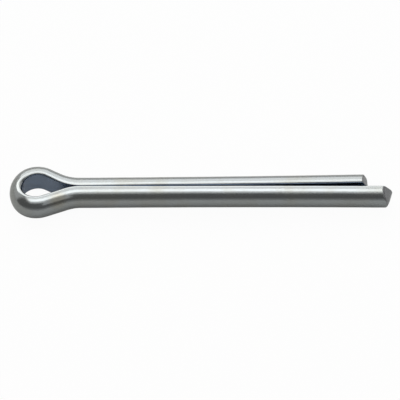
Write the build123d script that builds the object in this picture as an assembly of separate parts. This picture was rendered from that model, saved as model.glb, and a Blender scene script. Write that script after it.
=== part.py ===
from build123d import *
import math
import os

# A cotter pin, also called a split pin. One length of half-round wire is folded
# over at its middle into an eye. Its two ends then lie flat against flat and
# together make a round shank. All lengths are in millimetres and all angles in
# degrees. X runs along the shank from the neck to the tips, Y is across the
# seam with the long leg on its minus side, and Z is along the hole of the eye.

# The half-round wire of the legs
wire_radius = 1.85
leg_corner_radius = 0.2

# The eye, where the fold thins the wire at the crown
eye_wire_half_width = 1.87
eye_corner_radius = 0.28
flank_thickness = 1.83
shoulder_thickness = 1.66
crown_thickness = 1.41
crown_bend_angle = 60.5

# The side of the eye that the long leg comes from
long_side_half_width = 1.435
long_side_shoulder_radius = 2.5
long_side_flank_angle = 19.6

# The side of the eye that the short leg comes from
short_side_half_width = 1.51
short_side_shoulder_radius = 2.18
short_side_flank_angle = 26.1

# The neck, where both flanks turn into the shank
neck_crease_radius = 0.8
seam_gap = 0.03

# The legs, closed near the eye, each bent out a little from there to its tip
closed_length = 12.4
short_leg_length = 35.95
long_leg_extension = 3.05
opening_angle = 0.52

# The tips, each cut to a wedge by two facets that meet in a rounded ridge. Each
# facet, and each ridge towards the outside of its leg, falls back by this much
# for each millimetre.
ridge_radius = 1.4
long_facet_slope = 1.3
short_facet_slope = 0.45
long_ridge_slant = 0.28
short_ridge_slant = 0.05

long_leg_length = short_leg_length + long_leg_extension
neck_bend_radius = wire_radius + neck_crease_radius
cutter_reach = 3 * wire_radius
overrun = wire_radius
quarter_turn = 90


def half_round(radius, corner_radius):
    """The wire's outline, with its flat on x = 0 and its round side towards +x."""
    outer_half = Rectangle(radius, 2 * radius, align=(Align.MIN, Align.CENTER))
    return fillet((Circle(radius) & outer_half).vertices(), corner_radius)


def eye_outline(thickness):
    """The outline of the folded wire, flattened to the thickness given."""
    outline = half_round(eye_wire_half_width, eye_corner_radius)
    return scale(outline, by=(thickness / eye_wire_half_width, 1, 1))


def square_to(edge, position):
    """The plane square to a route, with its x away from the hole and its y up."""
    forward = edge % position
    outward = (-forward.Y, forward.X, 0)
    return Plane(origin=edge @ position, x_dir=outward, z_dir=forward)


def carried(edge, first, last):
    """The wire along one piece of the route, from its first outline to its last."""
    ends = [square_to(edge, 0) * first, square_to(edge, 1) * last]
    return sweep(ends, path=edge, multisection=True)


def arc_after(start, forward, radius, turn):
    """The next arc of the route, which turns to the left by the angle given."""
    return JernArc(start=start, tangent=forward, radius=radius, arc_size=turn)


def line_after(edge, length):
    """The next straight piece of the route."""
    return Line(edge @ 1, edge @ 1 + length * (edge % 1))


def crown_radius(half_width, shoulder_radius):
    """The crown's radius that makes one side of the hole as wide as given."""
    rise = math.sin(math.radians(crown_bend_angle))
    return shoulder_radius - (shoulder_radius - half_width) / rise


def flank_length(half_width, shoulder_radius, flank_angle):
    """The length of flank that brings one side of the hole down to the seam."""
    rise = math.sin(math.radians(flank_angle))
    fall_of_arcs = 1 - math.cos(math.radians(flank_angle))
    shoulder_y = half_width - shoulder_radius * fall_of_arcs
    neck_y = seam_gap / 2 + neck_bend_radius * fall_of_arcs
    return (shoulder_y - neck_y) / rise


def beyond_tip(side, length, facet_slope, ridge_slant):
    """All that the two slanting cuts take off the end of a leg."""
    lean = math.atan(facet_slope)
    sharp_x = length + ridge_radius * (1 / math.cos(lean) - 1)
    front = sharp_x - facet_slope * cutter_reach
    back = length + cutter_reach
    corners = [(sharp_x, 0), (front, cutter_reach), (back, cutter_reach)]
    corners += [(back, -cutter_reach), (front, -cutter_reach)]
    outline = make_face(Polyline(*corners, close=True))
    ridge = outline.vertices().sort_by_distance((sharp_x, 0))[0]
    outline = fillet(ridge, ridge_radius)
    upright = Plane(origin=(0, 0, 0), x_dir=(1, 0, 0), z_dir=(0, -1, 0))
    slant = (-ridge_slant, side, 0)
    return extrude(upright * outline, amount=cutter_reach, dir=slant, both=True)


def straight(start, end, side, outline):
    """A straight length of the wire, whose flat has its middle on start and end."""
    forward = (end - start).normalized()
    outward = side * forward.rotate(Axis.Z, quarter_turn)
    square = Plane(origin=start, x_dir=outward, z_dir=forward)
    return extrude(square * outline, (end - start).length)


def leg(neck_x, side, length, facet_slope, ridge_slant):
    """One leg from its neck, with side -1 for the long leg and 1 for the short."""
    outline = half_round(wire_radius, leg_corner_radius)
    neck = Vector(neck_x, side * seam_gap / 2, 0)
    bend = Vector(closed_length, neck.Y, 0)
    along = Vector(1, 0, 0)
    outwards = along.rotate(Axis.Z, side * opening_angle)
    mitre = Plane(origin=bend, z_dir=along.rotate(Axis.Z, side * opening_angle / 2))
    end = bend + outwards * (length - closed_length + overrun)
    closed = straight(neck, bend + along * overrun, side, outline)
    opened = straight(bend - outwards * overrun, end, side, outline)
    whole = split(closed, mitre, keep=Keep.BOTTOM) + split(opened, mitre, keep=Keep.TOP)
    return whole - beyond_tip(side, length, facet_slope, ridge_slant)


# The route of the wire's flat from the long leg, round the eye, to the short leg
long_neck = arc_after((0, -seam_gap / 2), (-1, 0), neck_bend_radius, long_side_flank_angle)
long_flank = line_after(
    long_neck,
    flank_length(long_side_half_width, long_side_shoulder_radius, long_side_flank_angle),
)
long_shoulder = arc_after(
    long_flank @ 1,
    long_flank % 1,
    long_side_shoulder_radius,
    crown_bend_angle - quarter_turn - long_side_flank_angle,
)
long_crown = arc_after(
    long_shoulder @ 1,
    long_shoulder % 1,
    crown_radius(long_side_half_width, long_side_shoulder_radius),
    -crown_bend_angle,
)
short_crown = arc_after(
    long_crown @ 1,
    long_crown % 1,
    crown_radius(short_side_half_width, short_side_shoulder_radius),
    -crown_bend_angle,
)
short_shoulder = arc_after(
    short_crown @ 1,
    short_crown % 1,
    short_side_shoulder_radius,
    crown_bend_angle - quarter_turn - short_side_flank_angle,
)
short_flank = line_after(
    short_shoulder,
    flank_length(short_side_half_width, short_side_shoulder_radius, short_side_flank_angle),
)
short_neck = arc_after(
    short_flank @ 1, short_flank % 1, neck_bend_radius, short_side_flank_angle
)
short_neck_end = short_neck @ 1

# The eye, piece by piece along that route
leg_section = half_round(wire_radius, leg_corner_radius)
flank_section = eye_outline(flank_thickness)
shoulder_section = eye_outline(shoulder_thickness)
crown_section = eye_outline(crown_thickness)
eye = carried(long_neck, leg_section, leg_section)
eye += carried(long_flank, leg_section, flank_section)
eye += carried(long_shoulder, flank_section, shoulder_section)
eye += carried(long_crown, shoulder_section, crown_section)
eye += carried(short_crown, crown_section, shoulder_section)
eye += carried(short_shoulder, shoulder_section, flank_section)
eye += carried(short_flank, flank_section, leg_section)
eye += carried(short_neck, leg_section, leg_section)

# The whole pin is one piece of wire
long_leg = leg(0, -1, long_leg_length, long_facet_slope, long_ridge_slant)
short_leg = leg(short_neck_end.X, 1, short_leg_length, short_facet_slope, short_ridge_slant)
cotter_pin = eye + long_leg + short_leg

os.makedirs("parts", exist_ok=True)
export_step(cotter_pin, "parts/cotter_pin.step")
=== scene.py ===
import math

import bpy
import numpy as np
from mathutils import Matrix, Vector


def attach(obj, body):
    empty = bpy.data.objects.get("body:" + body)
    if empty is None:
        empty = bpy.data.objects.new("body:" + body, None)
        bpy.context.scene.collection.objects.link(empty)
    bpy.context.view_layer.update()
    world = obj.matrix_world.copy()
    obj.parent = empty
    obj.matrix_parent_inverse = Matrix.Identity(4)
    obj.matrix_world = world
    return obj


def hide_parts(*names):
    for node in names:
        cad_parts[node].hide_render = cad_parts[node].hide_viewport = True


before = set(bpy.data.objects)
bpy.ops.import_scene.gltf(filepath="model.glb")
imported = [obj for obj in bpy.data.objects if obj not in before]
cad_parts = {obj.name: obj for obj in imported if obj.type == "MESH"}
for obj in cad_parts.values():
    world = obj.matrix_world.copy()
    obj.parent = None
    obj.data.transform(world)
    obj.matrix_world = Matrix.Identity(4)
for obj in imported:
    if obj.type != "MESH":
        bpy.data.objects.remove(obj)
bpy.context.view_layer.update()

MM = 0.001

# The pin's sizes, in millimetres and degrees. Many are fitted closer to the photo than the
# solid's. The facet, the ridge's slant and the roll say how each tip is cut, as wedge_cut
# explains.
wire_radius = 1.85
leg_corner = 0.26
closed_corner = 0.11
eye_half_width = 1.92
eye_corner = 0.26
crown_corner = 0.6
crown_thickness = 1.6
crown_radius = 1.39
long_side = {
    "half_width": 1.43, "shoulder": 2.27, "flank": 19.5, "thickness": 1.83,
    "leg": 39.0, "facet": 0.8, "slant": 0.27, "roll": 0.25,
}
short_side = {
    "half_width": 1.66, "shoulder": 1.93, "flank": 28.0, "thickness": 1.79,
    "leg": 35.95, "facet": 0.45, "slant": 0.05, "roll": 0.6,
}
neck_radius = 6.6
neck_x = 0.57
seam_gap = 0.03
ridge_radius = 1.4
roll_start = 1.1

# How the section changes along the wire. The fold thins it over the first of these shares of the
# way from the crown to the neck. From the second share on it turns into the legs' section, and
# past the neck the legs' corners grow to their full radius over the last length.
thinned_share = 0.26
turning_share = 0.5
corner_run = 10.0

# What the real wire adds: the legs bow open evenly, the wire swells here and there by these
# shares of its width, and the sheared ends are not knife sharp.
bow_start = 4.4
tip_spread = 0.25
long_swell, short_swell = 0.0012, 0.0006
cut_edge = 0.1

# The mesh: its points along the line and round the section, and the distances between its
# rings. These widen between the two places, counted from the crown, and from a tip they widen
# by the last number for each millimetre.
line_points = 6000
flat_points, corner_points, round_points = 9, 9, 61
eye_spacing, leg_spacing, tip_spacing = 0.07, 0.22, 0.06
eye_rings_end, leg_rings_start = 9.5, 11.0
tip_widening = 0.1
# Each cut end is closed by rings that shrink to the smallest share, and its edge has a few more.
# They shrink towards the first height over the flat, and the skin is about the second from it.
facet_rings, smallest_share, largest_share = 14, 0.06, 0.94
edge_rings = 5
section_middle, section_reach = 0.8, 1.2
# Near a tip the skin slides along the leg to meet the cut, less and less over this length.
slide_length = 6.0


def smooth_step(x):
    """Zero below 0, one above 1 and 3x^2 - 2x^3 between them, which has no corner."""
    x = np.clip(x, 0.0, 1.0)
    return x * x * (3 - 2 * x)


# The wire: a rounded half-circle carried along its folded line.
def side_line(side, crown_x=None):
    """Half of the line that the wire's flat follows, from the crown to one tip.

    It is an arc over the crown, an arc round the shoulder, a straight flank, an arc at the
    neck, a straight and the leg's long bow. The heading turns evenly along each arc, and the
    place is the running sum of its cosine and sine, with y positive to the outside. Gives the
    distances, x, y and heading, the distance at the neck and the crown's x."""
    shoulder, half_width = side["shoulder"], side["half_width"]
    flank = math.radians(side["flank"])
    bend = math.asin((shoulder - half_width) / (shoulder - crown_radius))
    # The drop is what the flank still has to fall to the seam. The run is the way from the crown
    # to the neck along x.
    fall = 1 - math.cos(flank)
    drop = half_width - shoulder * fall - seam_gap / 2 - neck_radius * fall
    over_shoulder = math.pi / 2 + flank - bend
    arcs = [crown_radius * bend, shoulder * over_shoulder]
    arcs += [drop / math.sin(flank), neck_radius * flank]
    turns = [bend, over_shoulder, 0.0, -flank]
    at_neck = sum(arcs)
    run = crown_radius * (1 - math.cos(bend)) + shoulder * (math.cos(bend) + math.sin(flank))
    run += arcs[2] * math.cos(flank) + neck_radius * math.sin(flank)
    if crown_x is None:
        crown_x = neck_x - run
    bow = side["leg"] - bow_start
    bow_turn = 2 * tip_spread * bow / (long_side["leg"] - bow_start) ** 2
    corners = np.cumsum([0.0, *arcs, bow_start - crown_x - run, bow])
    headings = math.pi / 2 - np.cumsum([0.0, *turns, 0.0, -bow_turn])
    distance = np.linspace(0.0, corners[-1], line_points)
    heading = np.interp(distance, corners, headings)
    middle, step = (heading[1:] + heading[:-1]) / 2, np.diff(distance)
    x = crown_x + np.concatenate([[0.0], np.cumsum(np.cos(middle) * step)])
    y = np.concatenate([[0.0], np.cumsum(np.sin(middle) * step)])
    return distance, x, y, heading, at_neck, crown_x


def wire_section(half_width, thickness, corner):
    """The wire's outline for one column of sizes: a half-circle with rounded corners.

    Gives n away from the flat and z up the flat, once round from the flat's middle: up the
    flat, round a corner circle, round the big circle that it touches, round the lower corner
    and back. n is then squeezed to the thickness."""
    w, t, c = (np.asarray(v, float).reshape(-1, 1) for v in (half_width, thickness, corner))
    corner_z = np.sqrt(w * w - 2 * w * c)
    touch = np.arcsin(c / (w - c))
    flat_z = corner_z * np.linspace(0, 1, flat_points)[None, :-1]
    turn = math.pi - (math.pi / 2 + touch) * np.linspace(0, 1, corner_points)[None, :-1]
    corner_n, corner_up = c + c * np.cos(turn), corner_z + c * np.sin(turn)
    sweep = (math.pi / 2 - touch) * np.linspace(1, -1, round_points)[None, :]
    n = [0 * flat_z, corner_n, w * np.cos(sweep), corner_n[:, ::-1], 0 * flat_z[:, :0:-1]]
    z = [flat_z, corner_up, w * np.sin(sweep), -corner_up[:, ::-1], -flat_z[:, :0:-1]]
    return np.hstack(n) * t / w, np.hstack(z)


def unevenness(distance, angle, seed, waves, longest):
    """A smooth random swell: a sum of waves along the wire, each from about a third of the
    longest up to it, that also turn round the wire up to three times."""
    rng = np.random.default_rng(seed)
    total = 0.0
    for _ in range(waves):
        length = longest * rng.uniform(0.35, 1.0)
        total = total + np.cos(2 * math.pi * distance / length + rng.integers(0, 4) * angle
                               + rng.uniform(0, 2 * math.pi))
    return total / math.sqrt(waves)


def wedge_cut(side, n, z):
    """How far the cut lies behind the tip: a ridge rounded to a circle, and a facet each side.

    It is r - sqrt(r^2 - z^2) on the circle and slope |z| - r (1 / cos(lean) - 1) on a facet,
    where lean is the facet's angle. The ridge itself slants back by the slant times the distance
    from the pin's middle plane. Past the roll's start it also rolls back, as shears leave it, by
    the roll times the square of what is left of n."""
    lean = math.atan(side["facet"])
    on_ridge = np.minimum(np.abs(z), ridge_radius * math.sin(lean))
    depth = ridge_radius - np.sqrt(ridge_radius**2 - on_ridge**2)
    depth = depth + side["facet"] * (np.abs(z) - on_ridge)
    rolled = side["roll"] * np.clip(n - roll_start, 0, None) ** 2
    return depth + rolled + side["slant"] * (seam_gap / 2 + tip_spread + n)


def ring_places(along):
    """Where the rings stand: their places on the line, how far they shrink and their setbacks.

    Rings lie closer together where the wire bends and at the tips. Past each end come the
    shrunk rings of the cut, and those of its edge, which turn through a quarter circle."""
    start, end = along[0], along[-1]
    spacing = np.interp(np.abs(along), [eye_rings_end, leg_rings_start], [eye_spacing, leg_spacing])
    to_tip = np.minimum(along - start, end - along)
    spacing = np.minimum(spacing, tip_spacing + tip_widening * to_tip)
    count = np.concatenate([[0.0], np.cumsum(np.diff(along) / spacing[1:])])
    walls = np.interp(np.linspace(0, count[-1], int(count[-1]) + 2), count, along)
    turn = np.linspace(math.pi / 2, 0, edge_rings + 1)[:-1]
    facet = np.linspace(smallest_share, largest_share, facet_rings)
    shrink_end = np.concatenate([facet, 1 - cut_edge * (1 - np.cos(turn)) / section_reach])
    back_end = np.concatenate([0 * facet, cut_edge * (1 - np.sin(turn))])
    near, far = np.full(len(shrink_end), start), np.full(len(shrink_end), end)
    place = np.concatenate([near, walls, far])
    shrink = np.concatenate([shrink_end, np.ones(len(walls)), shrink_end[::-1]])
    back = np.concatenate([back_end, np.full(len(walls), cut_edge), back_end[::-1]])
    return place[:, None], shrink[:, None], back[:, None]


def quad_corners(rings, around):
    """The ring and the step round it of each quad's first corner, and the step after that."""
    ring, step = np.meshgrid(np.arange(rings - 1), np.arange(around), indexing="ij")
    ring, step = ring.ravel(), step.ravel()
    return ring, step, (step + 1) % around


def closed_faces(rings, around):
    """Quads between the rings, and a fan of triangles round each of the two end points."""
    ring, step, after = quad_corners(rings, around)
    this, following = ring * around, (ring + 1) * around
    quads = np.stack([this + step, following + step, following + after, this + after], -1)
    step = np.arange(around)
    after = (step + 1) % around
    last, pole = (rings - 1) * around, rings * around
    first_fan = np.stack([np.full(around, pole), step, after], -1)
    last_fan = np.stack([np.full(around, pole + 1), last + after, last + step], -1)
    return [quads, first_fan, last_fan]


def unrolled_places(q, n, z, start, end):
    """Where each corner of each face lies on the unrolled wire: along it and round it, in
    millimetres. The way round is measured on the ring a third of the way through the mesh,
    which stands at the long leg's neck."""
    rings, around = q.shape
    neck_ring = rings // 3
    steps = np.hypot(np.diff(n[neck_ring]), np.diff(z[neck_ring]))
    girth = np.concatenate([[0.0], np.cumsum(steps)])
    girth = np.append(girth, girth[-1] + abs(z[neck_ring, -1]))
    ring, step, after = quad_corners(rings, around)
    u = np.stack([q[ring, step], q[ring + 1, step], q[ring + 1, after], q[ring, after]], -1)
    v = np.stack([girth[step], girth[step], girth[step + 1], girth[step + 1]], -1)
    step = np.arange(around)
    fans_u = np.concatenate([np.full((around, 3), start), np.full((around, 3), end)])
    fans_v = np.concatenate([np.stack([girth[step], girth[step], girth[step + 1]], -1)] * 2)
    quads, fans = np.stack([u, v], -1), np.stack([fans_u, fans_v], -1)
    return np.concatenate([quads.reshape(-1, 2), fans.reshape(-1, 2)])


def folded_wire():
    """The whole pin as one closed surface: rings of the section along the line, and both cut ends.

    Each ring's points lie square to the line. Near a tip they are moved along it, so that the
    last ring lies on the wedge, with the edge rounded over a quarter circle, and smaller rings
    on the same wedge close the end to one point. The long leg's distances are negative."""
    s_long, x_long, y_long, h_long, neck_long, crown_x = side_line(long_side)
    s_short, x_short, y_short, h_short, neck_short, _ = side_line(short_side, crown_x)
    along = np.concatenate([-s_long[:0:-1], s_short])
    line_x = np.concatenate([x_long[:0:-1], x_short])
    line_y = np.concatenate([-y_long[:0:-1], y_short])
    side_x = np.concatenate([-np.sin(h_long[:0:-1]), -np.sin(h_short)])
    side_y = np.concatenate([-np.cos(h_long[:0:-1]), np.cos(h_short)])
    start, end = along[0], along[-1]
    place, shrink, back = ring_places(along)

    # The fold thins the wire at the crown and spreads its flat. The legs keep the drawn section.
    neck = np.where(place < 0, neck_long, neck_short)
    from_crown = np.abs(place)
    thinning = smooth_step(from_crown / (thinned_share * neck))
    to_leg = smooth_step((from_crown - turning_share * neck) / ((1 - turning_share) * neck))
    flank = np.where(place < 0, long_side["thickness"], short_side["thickness"])
    thickness = crown_thickness + (flank - crown_thickness) * thinning
    thickness = thickness + (wire_radius - thickness) * to_leg
    half_width = eye_half_width + (wire_radius - eye_half_width) * to_leg
    opening = smooth_step((from_crown - neck) / corner_run)
    opened = closed_corner + (leg_corner - closed_corner) * opening
    corner = crown_corner + (eye_corner - crown_corner) * thinning
    corner = corner + (opened - corner) * to_leg
    n, z = wire_section(half_width, thickness, corner)
    angle = np.arctan2(z, n)
    swell = 1 + long_swell * unevenness(place, angle, seed=7, waves=9, longest=9.0)
    swell = swell + short_swell * unevenness(place, angle, seed=11, waves=9, longest=2.5)
    n, z = n * swell, z * swell
    n = section_middle + (n - section_middle) * shrink
    z = z * shrink

    # The wedge at each tip, and how far each point slides along the leg to meet it.
    long_slide = np.clip(1 - (place - start) / slide_length, 0, 1)
    short_slide = np.clip(1 - (end - place) / slide_length, 0, 1)
    q = place + (wedge_cut(long_side, n, z) + back) * long_slide
    q = q - (wedge_cut(short_side, n, z) + back) * short_slide

    def on_line(values):
        return np.interp(q.ravel(), along, values).reshape(q.shape)

    out_x, out_y = on_line(side_x), on_line(side_y)
    length = np.hypot(out_x, out_y)
    x = on_line(line_x) + out_x / length * n
    y = on_line(line_y) + out_y / length * n
    rings, around = q.shape
    points = np.stack([x, y, z], -1).reshape(-1, 3)
    poles = np.stack([points[:around].mean(0), points[-around:].mean(0)])
    points = np.concatenate([points, poles]) * MM

    # Marks on the points: the sheared ends, which are the shrunk rings, and the wire's flat, which
    # gets a painted blue cast for its shaded reflection. That mark is full at the face and fades
    # out by three tenths of the corner's radius.
    sheared = np.repeat((shrink < 1).astype(float), around, 1).ravel()
    inside = np.clip(1.2 - 4 * np.broadcast_to(n / corner, q.shape), 0, 1).ravel() * (1 - sheared)
    marks = {"sheared": np.append(sheared, [1.0, 1.0]), "inside": np.append(inside, [0.0, 0.0])}
    return points, closed_faces(rings, around), unrolled_places(q, n, z, start, end), marks


def make_piece(name, points, faces, unrolled, marks):
    """One mesh object at the origin from arrays of points, faces, unrolled places and marks."""
    sizes = np.concatenate([np.full(len(f), f.shape[1]) for f in faces])
    starts = np.concatenate([[0], np.cumsum(sizes)[:-1]])
    corners = np.concatenate([f.ravel() for f in faces])
    mesh = bpy.data.meshes.new(name)
    mesh.vertices.add(len(points))
    mesh.vertices.foreach_set("co", points.astype(np.float32).ravel())
    mesh.loops.add(len(corners))
    mesh.loops.foreach_set("vertex_index", corners.astype(np.int32))
    mesh.polygons.add(len(sizes))
    mesh.polygons.foreach_set("loop_start", starts.astype(np.int32))
    mesh.polygons.foreach_set("loop_total", sizes.astype(np.int32))
    mesh.update(calc_edges=True)
    mesh.validate()
    uv = mesh.uv_layers.new(name="unrolled").uv
    uv.foreach_set("vector", unrolled.astype(np.float32).ravel())
    for mark, values in marks.items():
        attribute = mesh.attributes.new(mark, "FLOAT", "POINT")
        attribute.data.foreach_set("value", values.astype(np.float32))
    mesh.polygons.foreach_set("use_smooth", np.ones(len(sizes), bool))
    piece = bpy.data.objects.new(name, mesh)
    bpy.context.scene.collection.objects.link(piece)
    return piece


# Materials.
def linear(code):
    """An sRGB hex colour as linear red, green, blue and a full alpha."""
    parts = [int(code[i:i + 2], 16) / 255 for i in (1, 3, 5)]
    low = [c / 12.92 for c in parts]
    high = [((c + 0.055) / 1.055) ** 2.4 for c in parts]
    return tuple(a if c <= 0.04045 else b for c, a, b in zip(parts, low, high)) + (1.0,)


def add_node(tree, kind, settings=None, **inputs):
    """Adds a node: settings are its properties, and each input is a value or a node's output.

    An input is named as its socket is, with _ for a space, or i and its number."""
    node = tree.nodes.new("ShaderNode" + kind)
    for name, value in (settings or {}).items():
        setattr(node, name, value)
    for name, value in inputs.items():
        key = int(name[1:]) if name[1:].isdigit() else name.replace("_", " ")
        if isinstance(value, bpy.types.NodeSocket):
            tree.links.new(value, node.inputs[key])
        else:
            node.inputs[key].default_value = value
    return node


def new_material(name):
    """An empty node material and its output node."""
    material = bpy.data.materials.new(name)
    material.use_nodes = True
    tree = material.node_tree
    tree.nodes.clear()
    return material, tree, tree.nodes.new("ShaderNodeOutputMaterial")


def bright_zinc_plate():
    """Bright zinc plate on drawn mild steel wire.

    It is a silvery, slightly bluish metal, shiny enough to show soft, stretched pictures of
    the lights. The plate is thin, so the die's fine lines along the wire still show through.
    Handling leaves duller, faintly yellow patches, and the sheared tips are rougher. The wire's
    flat is painted with a blue cast that stands in for its cool, shaded reflection, also on the end
    of the long leg that stands out past the seam."""
    material, tree, out = new_material("bright_zinc_plate")
    unrolled = add_node(tree, "UVMap", {"uv_map": "unrolled"}).outputs["UV"]
    place = add_node(tree, "TexCoord").outputs["Object"]
    mixed, multiplied = {"data_type": "RGBA"}, {"operation": "MULTIPLY_ADD"}

    # Patches of handling and passivation, 2 to 4 mm across.
    patches = add_node(tree, "TexNoise", Vector=place, Scale=320.0, Detail=3.0, Roughness=0.55)
    patches = patches.outputs["Fac"]
    patch_mask = add_node(tree, "MapRange", Value=patches, From_Min=0.42, From_Max=0.8)
    # Die lines: 0.05 mm apart round the wire and 8 mm long.
    stretch = add_node(tree, "Mapping", Vector=unrolled, Scale=(0.12, 20.0, 1.0))
    lines = add_node(tree, "TexNoise", Vector=stretch.outputs["Vector"], Scale=1.0, Detail=2.0,
                     Roughness=0.6)
    # Grain of the plate, 0.12 mm.
    grain = add_node(tree, "TexNoise", Vector=place, Scale=8000.0, Detail=2.0, Roughness=0.5)
    sheared = add_node(tree, "Attribute", {"attribute_name": "sheared"}).outputs["Fac"]
    inside = add_node(tree, "Attribute", {"attribute_name": "inside"}).outputs["Fac"]

    # One rub mark on the near flank of the eye, about 2 mm across, with a ragged border.
    rub_place = (-2.2 * MM, -1.9 * MM, 1.35 * MM)
    from_rub = add_node(tree, "VectorMath", {"operation": "DISTANCE"}, i0=place, i1=rub_place)
    ragged = add_node(tree, "Math", multiplied, i0=patches, i1=1.6 * MM,
                      i2=from_rub.outputs["Value"])
    rubbed = add_node(tree, "MapRange", Value=ragged.outputs[0], From_Min=2.1 * MM,
                      From_Max=1.3 * MM)

    clean, handled, rub = linear("#969A9B"), linear("#93948F"), linear("#93928A")
    # The wire's flat gets a painted blue cast, a stand-in for the cool tone of its shaded
    # reflection.
    painted_shade_blue, bare = linear("#99A6B7"), linear("#88898B")
    colour = add_node(tree, "Mix", mixed, Factor=patch_mask.outputs["Result"], i6=clean, i7=handled)
    colour = add_node(tree, "Mix", mixed, Factor=rubbed.outputs["Result"], i6=colour.outputs[2],
                      i7=rub)
    # Painted shade tint: the mark of the wire's flat takes the blue cast.
    colour = add_node(tree, "Mix", mixed, Factor=inside, i6=colour.outputs[2], i7=painted_shade_blue)
    colour = add_node(tree, "Mix", mixed, Factor=sheared, i6=colour.outputs[2], i7=bare)
    # The patches are a little rougher, and the sheared tips more so.
    rough = add_node(tree, "MapRange", Value=patches, From_Min=0.3, From_Max=0.7, To_Min=0.17,
                     To_Max=0.24)
    rough = add_node(tree, "Math", multiplied, i0=sheared, i1=0.10, i2=rough.outputs["Result"])
    # The lines and the grain are both under a thousandth of a millimetre deep.
    depth = 0.0008 * MM
    fine = add_node(tree, "Bump", Height=lines.outputs["Fac"], Distance=depth, Strength=1.0)
    fine = add_node(tree, "Bump", Height=grain.outputs["Fac"], Distance=depth, Strength=1.0,
                    Normal=fine.outputs["Normal"])
    metal = add_node(tree, "BsdfPrincipled", Base_Color=colour.outputs[2], Metallic=1.0,
                     Roughness=rough.outputs[0], Normal=fine.outputs["Normal"])
    tree.links.new(metal.outputs["BSDF"], out.inputs["Surface"])
    return material


def matte_pale_board():
    """Matte pale grey board: a plain sheet with a hardly visible tooth and no shine."""
    material, tree, out = new_material("matte_pale_board")
    place = add_node(tree, "TexCoord").outputs["Object"]
    # The tooth is about 1 mm across.
    tooth = add_node(tree, "TexNoise", Vector=place, Scale=900.0, Detail=2.0)
    colour = add_node(tree, "Mix", {"data_type": "RGBA"}, Factor=tooth.outputs["Fac"],
                      i6=linear("#B9B9B7"), i7=linear("#BDBDBB"))
    board = add_node(tree, "BsdfPrincipled", Base_Color=colour.outputs[2], Roughness=0.95)
    # Most of what the camera sees of it is even white, which keeps the shadow light. The metal
    # and any glass see less of that white, over the board's own light and shadow.
    camera_white, mirrored_white = 0.96, 0.03
    rays = add_node(tree, "LightPath").outputs
    mirrored = add_node(tree, "Math", {"operation": "MAXIMUM"}, i0=rays["Is Glossy Ray"],
                        i1=rays["Is Transmission Ray"])
    seen = add_node(tree, "Math", {"operation": "MULTIPLY"}, i0=rays["Is Camera Ray"],
                    i1=camera_white)
    share = add_node(tree, "Math", {"operation": "MULTIPLY_ADD"}, i0=mirrored.outputs[0],
                     i1=mirrored_white, i2=seen.outputs[0])
    white = add_node(tree, "Emission", Strength=1.0)
    both = add_node(tree, "MixShader", Fac=share.outputs[0], i1=board.outputs["BSDF"],
                    i2=white.outputs["Emission"])
    tree.links.new(both.outputs["Shader"], out.inputs["Surface"])
    return material


# The pin itself.
pin = make_piece("folded_wire", *folded_wire())
pin.data.materials.append(bright_zinc_plate())
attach(pin, "root")
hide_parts("cotter_pin")

# The board, in millimetres. The lowest 0.04 mm of the eye is in it, and the tips are less than
# 0.02 mm over it.
eye_low, eye_x, tip_low, tip_x = -1.86, -3.5, -1.845, 37.0
tilt = (tip_low - eye_low) / (tip_x - eye_x)
reach = 1500.0
board_mesh = bpy.data.meshes.new("board")
board_corners = [(x, y, eye_low + tilt * (x - eye_x)) for x, y in
                 ((-reach, -reach), (reach, -reach), (reach, reach), (-reach, reach))]
board_mesh.from_pydata([Vector(c) * MM for c in board_corners], [], [(0, 1, 2, 3)])
board = bpy.data.objects.new("board", board_mesh)
bpy.context.scene.collection.objects.link(board)
board.data.materials.append(matte_pale_board())


# Light. Each soft box is a rectangle that faces the pin, over its middle unless it is shifted.
# Angles are in the plane across the pin: 0 is the front horizon, 90 straight up and 180 the
# back horizon.
pin_middle = 0.015


def add_lamp(name, size, radiance, place, axes):
    """A rectangular lamp at a place, which shines against the last of its three axes."""
    lamp = bpy.data.lights.new(name, "AREA")
    lamp.shape, lamp.size, lamp.size_y = "RECTANGLE", *size
    lamp.energy = radiance * math.pi * size[0] * size[1]
    holder = bpy.data.objects.new(name, lamp)
    holder.matrix_world = Matrix.Translation(place) @ Matrix(axes).transposed().to_4x4()
    bpy.context.scene.collection.objects.link(holder)


def soft_box(name, first_angle, last_angle, distance, length, radiance, shift=0.0):
    """A soft box between two angles, at a distance in metres, with its radiance in white units.

    The shift moves it sideways along the pin."""
    middle = math.radians((first_angle + last_angle) / 2)
    width = 2 * distance * math.tan(math.radians((last_angle - first_angle) / 2))
    toward = Vector((0, -math.cos(middle), math.sin(middle)))
    across = Vector((1, 0, 0))
    place = Vector((pin_middle + shift, 0, 0)) + toward * distance
    add_lamp(name, (length, width), radiance, place, (across, toward.cross(across), toward))


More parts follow.
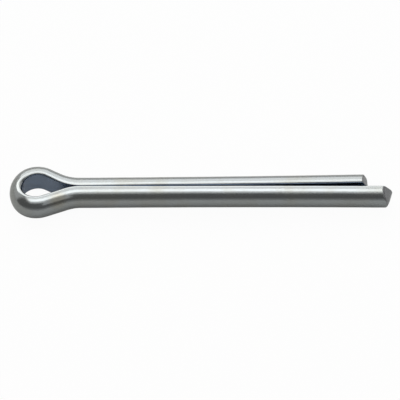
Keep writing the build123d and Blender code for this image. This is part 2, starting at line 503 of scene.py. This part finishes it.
def side_panel(name, x, y_range, z_range, radiance):
    """A dim panel that stands upright beside the pin and faces it, with its sizes in metres."""
    size = (y_range[1] - y_range[0], z_range[1] - z_range[0])
    place = Vector((x, sum(y_range) / 2, sum(z_range) / 2))
    out, up = Vector((math.copysign(1, x), 0, 0)), Vector((0, 0, 1))
    add_lamp(name, size, radiance, place, (up.cross(out), up, out))


# The first and last angle, the distance, the length, the radiance and the shift of each box.
soft_box("low_front_box", 1, 11, 0.6, 1.2, 0.2)
soft_box("front_right_box", 33, 55, 0.55, 0.50, 0.55, 0.40)
soft_box("front_edge_box", 54, 66, 0.5, 0.36, 0.9)
soft_box("top_box", 67, 88, 0.5, 0.36, 3.0)
soft_box("middle_box", 89, 111, 0.5, 0.40, 1.7)
soft_box("back_box", 112, 147, 0.5, 0.75, 2.8, -0.12)
soft_box("low_back_box", 148, 179, 0.6, 0.70, 1.8)
# The place along the pin, what the panel covers in y and in z, and its radiance.
side_panel("left_panel", -0.6, (-0.1, 1.2), (0.02, 1.2), 0.65)
side_panel("right_panel", 0.65, (-0.1, 1.2), (0.02, 1.2), 0.65)

# A dim, even fill from all round.
world = bpy.data.worlds.new("studio")
bpy.context.scene.world = world
world.use_nodes = True
fill = world.node_tree.nodes["Background"]
fill.inputs["Color"].default_value = (1, 1, 1, 1)
fill.inputs["Strength"].default_value = 0.18

# Camera: a long lens from 60 degrees up, straight across the pin, with distances in metres.
elevation, roll, camera_distance = math.radians(60), math.radians(0.39), 0.75
picture_width = 49.23 * MM
aim = Vector((15.237, -1.125, 0)) * MM
back = Vector((0, -math.cos(elevation), math.sin(elevation)))
lens = bpy.data.cameras.new("camera")
lens.sensor_width = 36.0
lens.lens = lens.sensor_width * camera_distance / picture_width
lens.clip_start, lens.clip_end = 0.05, 10.0
camera = bpy.data.objects.new("camera", lens)
right = Vector((1, 0, 0))
camera.matrix_world = (Matrix.Translation(aim + back * camera_distance)
                       @ Matrix((right, back.cross(right), back)).transposed().to_4x4()
                       @ Matrix.Rotation(-roll, 4, "Z"))
bpy.context.scene.collection.objects.link(camera)
bpy.context.scene.camera = camera
bpy.context.scene.view_settings.view_transform = "Standard"
